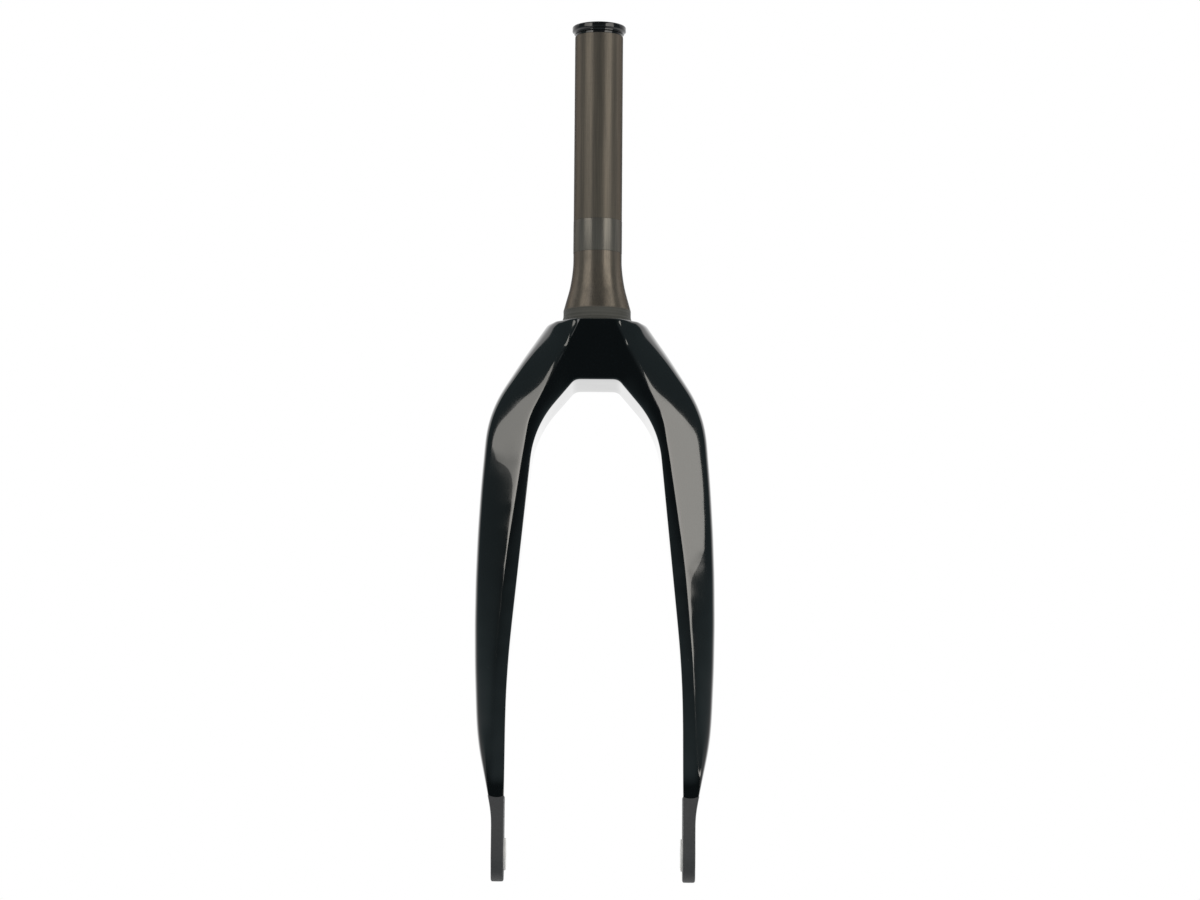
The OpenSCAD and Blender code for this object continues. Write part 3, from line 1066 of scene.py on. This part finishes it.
        return (fr + self.panel(fr[2], cf[0], -crown / 3, 1) + cf + self.panel(cf[2], bf[0], -crown, 2) + bf
                + [o_front, Vector((o.x, mid, o.y)), o_back] + bb + self.panel(bb[2], cb[0], crown, 2) + cb
                + self.panel(cb[2], ib[0], crown / 3, 1) + ib + self.panel(ib[2], fr[0], Vector(), 1))

    def fan_section(self, place: float) -> list[Vector]:
        """Builds a section of the crown's fan.

        Args:
            place: 0 in the middle, 1 where the fan ends.

        Returns:
            The section's points.
        """
        tables = (self.SPINE_W_FAN, self.SPINE_HALF_FAN, self.EDGE_R_FAN, self.CREASE_R_FAN)
        return self.section(self.inner.at_place(place), self.crease.at_place(place), self.outer.at_place(place),
                            *(eased(rows, place) for rows in tables))

    def leg_section(self, z: float) -> list[Vector]:
        """Builds a level section of the leg, drawn in round the tip by the dropout's rim.

        Args:
            z: Its height.

        Returns:
            The section's points.
        """
        low = max(0.0, self.tip + self.rim_r - z)
        inset = self.rim_r - math.sqrt(max(0.0, self.rim_r**2 - low * low))
        return self.section(Vector((self.inner.at_height(z) + inset, z)),
                            Vector((self.crease.at_height(z) - inset, z)),
                            Vector((self.outer.at_height(z) - inset, z)),
                            eased(self.SPINE_W_LEG, z), eased(self.SPINE_HALF_LEG, z),
                            eased(((-290.0, self.rim_r), (-250.0, 2.5)), z))

    def sections(self) -> list[list[Vector]]:
        """Builds the sections of half the fork, closest together at the crown's corners and the tip.

        Returns:
            The sections, from the middle to one tip.
        """
        places = ([0.025 * n for n in range(7)] + [0.166 + 0.009 * n for n in range(11)]
                  + [0.275 + 0.0382 * n for n in range(20)])
        heights = ([-97.0 - 9.0 * n for n in range(16)] + [-240.0 - 5.0 * n for n in range(15)]
                   + [-self.axle_drop - self.dropout_r * math.sin(math.radians(a))
                      for a in (4, 14, 25, 36, 46, 55, 63, 70, 76, 81)])
        return [self.fan_section(p) for p in places] + [self.leg_section(z) for z in heights]

    @staticmethod
    def bridge(bm: bmesh.types.BMesh, a: Sequence[bmesh.types.BMVert], b: Sequence[bmesh.types.BMVert]) -> None:
        """Joins two rings.

        Args:
            bm: The mesh.
            a: First ring's vertices, in order.
            b: Second ring's vertices, in order.
        """
        rings = [bm.edges.get((ring[n - 1], ring[n])) for ring in (a, b) for n in range(len(ring))]
        bmesh.ops.bridge_loops(bm, edges=rings, use_pairs=False, use_cyclic=False, use_merge=False)

    def loft(self) -> bmesh.types.BMesh:
        """Bridges the rings of one half and mirrors it to the other side.

        Returns:
            The whole moulding's mesh, in millimetres.
        """
        bm = bmesh.new()
        rings = []
        for points in self.sections():
            made = bmesh.ops.create_circle(bm, cap_ends=False, radius=1.0, segments=len(points))
            ring = list(made["verts"])
            for vert, point in zip(ring, points):
                vert.co = point
            rings.append(ring)
        for a, b in zip(rings, rings[1:]):
            self.bridge(bm, a, b)
        bmesh.ops.contextual_create(bm, geom=rings[-1])
        bmesh.ops.mirror(bm, geom=bm.verts[:] + bm.edges[:] + bm.faces[:], matrix=Matrix.Identity(4),
                         merge_dist=1e-4, axis="X")
        bmesh.ops.remove_doubles(bm, verts=[v for v in bm.verts if abs(v.co.x) < 1e-3], dist=1e-3)
        return bm

    def bores(self) -> bpy.types.Object:
        """Makes the cutter for the holes that take the axle bushes.

        Returns:
            The cutter, which is taken away once it has cut.
        """
        bm = bmesh.new()
        turn = Matrix.Rotation(math.pi / 2, 4, "Y")
        bmesh.ops.create_cone(bm, cap_ends=True, segments=96, radius1=self.bore_r, radius2=self.bore_r, depth=160.0,
                              matrix=Matrix.Translation((0, -self.rake, -self.axle_drop)) @ turn)
        bmesh.ops.scale(bm, vec=(MM, MM, MM), verts=bm.verts)
        return stand("bore_cutter", as_mesh("bore_cutter", bm))

    def build(self, shop: Paintshop) -> None:
        """Builds and dresses the moulding.

        Args:
            shop: Where its material comes from.
        """
        piece = add_piece("fork_moulding", self.loft(), "fork_body", 180.0)
        smooth = piece.modifiers.new("smooth", "SUBSURF")
        smooth.levels = smooth.render_levels = 2
        cutter = self.bores()
        bored = piece.modifiers.new("bores", "BOOLEAN")
        bored.operation, bored.solver, bored.object = "DIFFERENCE", "EXACT", cutter
        mesh = bpy.data.meshes.new_from_object(piece.evaluated_get(bpy.context.evaluated_depsgraph_get()))
        piece.modifiers.clear()
        piece.data = mesh
        bpy.data.objects.remove(cutter)
        mesh.shade_smooth()
        mesh.set_sharp_from_angle(angle=math.radians(40.0))
        shop.dress(piece, Slot.GLOSS_BLACK)


@dataclass
class TaperedBase:
    """Race seat and taper that grow out of the crown.

    Attributes:
        race_r: Radius of the race seat.
        race_h: Its height.
        flare_r: Radius of the flare at its foot.
        cone_h: Height where the straight cone would reach the tube.
        blend_r: Radius that blends the cone into the tube.
        tube_r: Radius of the tube.
        top: Height of the seam at its top.
    """

    race_r: float = 19.9
    race_h: float = RACE_H
    flare_r: float = 4.5
    cone_h: float = 28.2
    blend_r: float = 74.0
    tube_r: float = TUBE_R
    top: float = LOWER_SEAM

    def build(self, shop: Paintshop) -> None:
        """Builds and dresses the base.

        Args:
            shop: Where its material comes from.
        """
        rim = self.race_r + self.flare_r + 0.1
        bm = turned(((0, -2, 0), (rim, -2, 0), (rim, 0.03, 0), (self.race_r, 0.03, self.flare_r),
                     (self.race_r, self.race_h, 0.6),
                     (self.tube_r, self.cone_h, self.blend_r), (self.tube_r, self.top, 0.15), (0, self.top, 0)), 160)
        piece = add_piece("tapered_base", bm, "fork_body")
        shop.dress(piece, Slot.BARE_LAMINATE)


@dataclass
class Steerer:
    """Steerer tube and the collar under it.

    Attributes:
        tube_r: Outside radius.
        bore_r: Bore radius.
        top: Height of the tube's end.
        low: Height of the lower seam.
        high: Height of the upper seam.
        proud: How far the collar stands proud.
        spigot_r: Radius of the bonded spigot.
        foot: Height of the spigot's end.
    """

    tube_r: float = TUBE_R
    bore_r: float = 11.8
    top: float = 174.0
    low: float = LOWER_SEAM
    high: float = 61.9
    proud: float = 0.1
    spigot_r: float = 12.5
    foot: float = 20.0

    def build(self, shop: Paintshop) -> None:
        """Builds and dresses the tube and the collar.

        Args:
            shop: Where the materials come from.
        """
        inner = self.spigot_r - 2.2
        tube = turned(((inner, self.foot, 0), (self.spigot_r, self.foot, 0), (self.spigot_r, self.high, 0),
                       (self.tube_r, self.high, 0.15), (self.tube_r, self.top, 0.4), (self.bore_r, self.top, 0),
                       (self.bore_r, self.high + 14, 2), (inner, self.high + 6, 2)), 160)
        shop.dress(add_piece("steerer_carbon", tube, "steerer_tube"), Slot.BARE_LAMINATE)
        r = self.tube_r + self.proud
        collar = turned(((self.spigot_r, self.low, 0), (r, self.low, 0.15), (r, self.high, 0.15),
                         (self.spigot_r, self.high, 0)), 160)
        shop.dress(add_piece("splice_ring", collar, "splice_collar"), Slot.COLLAR_LAMINATE)


@dataclass
class CapAndExpander:
    """Top cap, with the expander and bolts inside the steerer.

    Attributes:
        foot: Height of the cap's foot, on the expander's lip.
        height: Height of the cap.
        cap_r: Radius of the cap.
        lip_r: Radius of the expander's lip.
        pocket_r: Radius of the pocket for the bolt's head.
        pocket_h: Depth of that pocket.
        hole_r: Radius of the bolt's hole.
    """

    foot: float = 175.5
    height: float = 4.6
    cap_r: float = 15.95
    lip_r: float = 14.1
    pocket_r: float = 5.1
    pocket_h: float = 2.8
    hole_r: float = 2.8

    def build(self, shop: Paintshop) -> None:
        """Builds the cap and dresses it and the CAD's expander and bolts.

        Args:
            shop: Where the materials come from.
        """
        top = self.foot + self.height
        shelf = top - self.pocket_h
        bm = turned(((self.lip_r + 0.7, self.foot, 0.15), (self.lip_r + 0.7, self.foot + 0.9, 0.15),
                     (self.cap_r, self.foot + 1.6, 0.3), (self.cap_r, top, 0.8),
                     (self.pocket_r, top, 0.4), (self.pocket_r, shelf, 0), (self.hole_r, shelf, 0),
                     (self.hole_r, self.foot, 0)), 160)
        shop.dress(add_piece("steerer_cap", bm, "top_cap"), Slot.BLACK_ANODISED)
        for node, slot in (("expander_sleeve", Slot.BLACK_ANODISED), ("expander_wedge", Slot.BARE_ALLOY),
                           ("expander_bolt", Slot.BLACK_STEEL), ("cap_bolt", Slot.ZINC_STEEL)):
            shop.dress(frame["nodes"][node], slot)
            LOG.info("%s dressed", node)


@dataclass
class AxleBush:
    """Flanged bush in one dropout.

    Attributes:
        side: 1 for the rider's left, -1 for the right.
        bore_r: Radius of the axle hole.
        flange_r: Radius of the flange.
        body_r: Radius of the body.
        face: How far out the flange's face is.
        plate_in: Inner face of the dropout.
        plate_out: Outer face of the dropout.
        rake: How far the axle lies ahead of the steerer axis.
        drop: Drop from the shoulder to the axle.
    """

    side: int
    bore_r: float = 5.1
    flange_r: float = 9.25
    body_r: float = BUSH_R
    face: float = 50.0
    plate_in: float = PLATE_IN
    plate_out: float = PLATE_OUT
    rake: float = RAKE
    drop: float = AXLE_DROP

    def build(self, shop: Paintshop) -> None:
        """Builds and dresses the bush.

        Args:
            shop: Where its material comes from.
        """
        bm = turned(((self.bore_r, self.face, 0.3), (self.flange_r, self.face, 0.4), (self.flange_r, self.plate_in, 0),
                     (self.body_r, self.plate_in, 0), (self.body_r, self.plate_out, 0.2),
                     (self.bore_r, self.plate_out, 0.3)), 96)
        place = Matrix.Translation((0, -self.rake, -self.drop)) @ Matrix.Rotation(self.side * math.pi / 2, 4, "Y")
        bmesh.ops.transform(bm, matrix=place, verts=bm.verts)
        word = "left" if self.side > 0 else "right"
        shop.dress(add_piece(f"bush_{word}", bm, f"axle_insert_{word}"), Slot.BARE_ALLOY)


# Studio


@dataclass
class Softbox:
    """A softbox that stands beside the fork and faces straight across it.

    Attributes:
        name: Its name.
        side: 1 to stand on +X, -1 to stand on -X.
        distance: How far out it stands, in metres.
        reach: Where it starts and ends along Y, in metres, from the camera's end.
        rise: Its lower and upper edges, in metres.
        glow: Radiance at the camera's end and at the fork's end.
        tint: Colour of its light.
    """

    name: str
    side: int
    distance: float
    reach: Pair
    rise: Pair
    glow: Pair
    tint: Point = (1.0, 0.965, 0.90)

    def build(self) -> None:
        """Stands the lamp."""
        width, height = self.reach[1] - self.reach[0], self.rise[1] - self.rise[0]
        peak = max(self.glow)
        lamp = bpy.data.lights.new(self.name, "AREA")
        lamp.shape, lamp.size, lamp.size_y = "RECTANGLE", width, height
        lamp.energy = peak * math.pi * width * height
        lamp.color = self.tint
        graph = fresh_graph(lamp)
        along, _, _ = graph.split(graph.node("ShaderNodeNewGeometry").outputs["Parametric"])
        ends = [glow / peak for glow in self.glow]
        if self.side < 0:
            ends.reverse()
        level = graph.ease(along, 0.0, 1.0, *ends)
        light = graph.node("ShaderNodeEmission", {"Strength": level})
        graph.node("ShaderNodeOutputLight", {"Surface": light.outputs[0]})
        held = stand(self.name, lamp)
        place = Matrix(((0, 0, self.side), (self.side, 0, 0), (0, 1, 0))).to_4x4()
        place.translation = (self.side * self.distance, sum(self.reach) / 2, sum(self.rise) / 2)
        held.matrix_world = place
        held.visible_camera = False


@dataclass
class Studio:
    """World, floor, lamps and camera.

    Attributes:
        eye: Where the camera stands, in millimetres.
        pitch: How far it looks up, in degrees.
        roll: How far it is turned about its own axis, in degrees.
        lens: Its focal length on a 36 mm wide sensor.
        floor: Height of the floor, in millimetres.
        plain: Level of the even light on matt surfaces.
        lamp_out: How far out the lamps stand, in metres.
        glint: Way to the small bright patch that the front of the crown mirrors.
        shade: Colour of what is dark in reflections.
    """

    eye: Point = (2.296, -2246.78, -374.37)
    pitch: float = 7.6
    roll: float = 0.42
    lens: float = 115.5
    floor: float = -328.4
    plain: float = 0.75
    lamp_out: float = 1.5
    glint: Point = (-0.423, -0.582, 0.695)
    shade: Colour = (0.72, 0.95, 1.0, 1.0)

    def hang_lamps(self) -> None:
        """Stands the two softboxes."""
        d = self.lamp_out
        Softbox("softbox_left", side=1, distance=d, reach=(-1.90 * d, -0.47 * d), rise=(0.27, 1.19),
                glow=(3.8, 3.0)).build()
        Softbox("softbox_right", side=-1, distance=d, reach=(-1.70 * d, -0.44 * d), rise=(0.465, 1.25),
                glow=(4.1, 2.2)).build()

    def light_world(self) -> None:
        """White to the camera and behind the fork, and dark in front of it to what is glossy."""
        world = bpy.data.worlds.new("studio")
        bpy.context.scene.world = world
        world.cycles.sampling_method = "NONE"
        graph = fresh_graph(world)
        x, y, z = graph.split(graph.node("ShaderNodeTexCoord").outputs["Generated"])
        flat = graph.length(x, y)
        turn = graph.math("DIVIDE", y, graph.math("MAXIMUM", flat, 0.001))
        # Dark in front of the fork, a band at its horizon and a grey ceiling
        front = graph.plus(graph.ease(turn, -0.95, -0.35, 0.045, 0.15), graph.ease(z, 0.03, 0.25, 0.30, 0.0))
        above = graph.plus(graph.times(front, graph.ease(z, -0.15, 0.0, 0.7, 1.0)),
                           graph.ease(z, 0.78, 0.96, 0.0, 0.25))
        patch = graph.node("ShaderNodeVectorMath", {0: graph.join(x, y, z), 1: self.glint},
                           operation="DOT_PRODUCT").outputs["Value"]
        glow = graph.ease(patch, 0.984, 0.997, 0.0, 2.0)
        # The white backdrop behind it, dimmer where the legs' sides mirror its foot
        wall = graph.math("MAXIMUM", graph.ease(turn, 0.2, 0.85, 0.45, 1.0), graph.ease(z, 0.12, 0.4, 0.0, 1.1))
        shown = graph.times(graph.ease(turn, 0.10, 0.20), graph.ease(z, 0.8, 0.95, 1.0, 0.2))
        backdrop = graph.times(wall, shown)
        room = graph.math("MAXIMUM", graph.plus(above, glow), backdrop)
        # White to the camera, this room to glossy rays and even light to the rest
        path = graph.node("ShaderNodeLightPath").outputs
        seen = graph.math("MAXIMUM", path["Is Camera Ray"], path["Is Transmission Ray"])
        glossy = path["Is Glossy Ray"]
        other = graph.times(graph.minus(1.0, glossy), self.plain)
        level = graph.plus(graph.times(glossy, room), other)
        tint = graph.blend(graph.times(glossy, graph.ease(room, 0.2, 0.5, 1.0, 0.0)),
                           (1.0, 1.0, 1.0, 1.0), self.shade)
        whole = graph.node("ShaderNodeBackground", {"Color": (1, 1, 1, 1), "Strength": 1.0})
        part = graph.node("ShaderNodeBackground", {"Color": tint, "Strength": level})
        both = graph.node("ShaderNodeMixShader", {0: seen, 1: part.outputs[0], 2: whole.outputs[0]})
        graph.node("ShaderNodeOutputWorld", {"Surface": both.outputs[0]})

    def lay_floor(self) -> None:
        """Lays a pale floor at the tips: clear from below, and lost in the white further out."""
        bm = bmesh.new()
        bmesh.ops.create_circle(bm, cap_ends=True, segments=96, radius=4.0,
                                matrix=Matrix.Translation((0, 0, self.floor * MM)))
        floor = stand("floor", as_mesh("floor", bm))
        floor.visible_glossy = False
        paint = bpy.data.materials.new("pale_floor")
        graph = fresh_graph(paint)
        grain = graph.node("ShaderNodeTexNoise", {"Vector": graph.place(), "Scale": 300.0, "Detail": 2.0})
        tone = graph.blend(graph.ease(grain.outputs[0], 0.3, 0.7), (0.85, 0.85, 0.85, 1), (0.88, 0.88, 0.88, 1))
        matt = graph.node("ShaderNodeBsdfDiffuse", {"Color": tone})
        clear = graph.node("ShaderNodeBsdfTransparent")
        x, y, _ = graph.split(graph.place())
        far = graph.length(x, y)
        lost = graph.times(graph.ease(far, 0.35, 1.1),
                          graph.node("ShaderNodeLightPath").outputs["Is Camera Ray"])
        back = graph.node("ShaderNodeNewGeometry").outputs["Backfacing"]
        both = graph.node("ShaderNodeMixShader",
                          {0: graph.math("MAXIMUM", back, lost), 1: matt.outputs[0], 2: clear.outputs[0]})
        graph.node("ShaderNodeOutputMaterial", {"Surface": both.outputs[0]})
        floor.data.materials.append(paint)

    def set_camera(self) -> None:
        """Stands the camera where the photograph was taken from."""
        camera = bpy.data.cameras.new("camera")
        camera.lens, camera.sensor_width = self.lens, 36.0
        camera.clip_start, camera.clip_end = 0.05, 50.0
        held = stand("camera", camera)
        held.matrix_world = (Matrix.Translation(Vector(self.eye) * MM)
                             @ Matrix.Rotation(math.radians(90 + self.pitch), 4, "X")
                             @ Matrix.Rotation(math.radians(self.roll), 4, "Z"))
        bpy.context.scene.camera = held

    def build(self) -> None:
        """Sets up the studio."""
        bpy.context.scene.view_settings.view_transform = "Standard"
        self.set_camera()
        self.light_world()
        self.lay_floor()
        self.hang_lamps()
        LOG.info("studio set")


def main() -> None:
    """Builds the studio and every piece."""
    logging.basicConfig(level=logging.INFO, format="%(name)s: %(message)s")
    shop = Paintshop(Effects())
    Studio().build()
    Moulding().build(shop)
    TaperedBase().build(shop)
    Steerer().build(shop)
    CapAndExpander().build(shop)
    for side in (1, -1):
        AxleBush(side).build(shop)


if __name__ == "__main__":
    main()
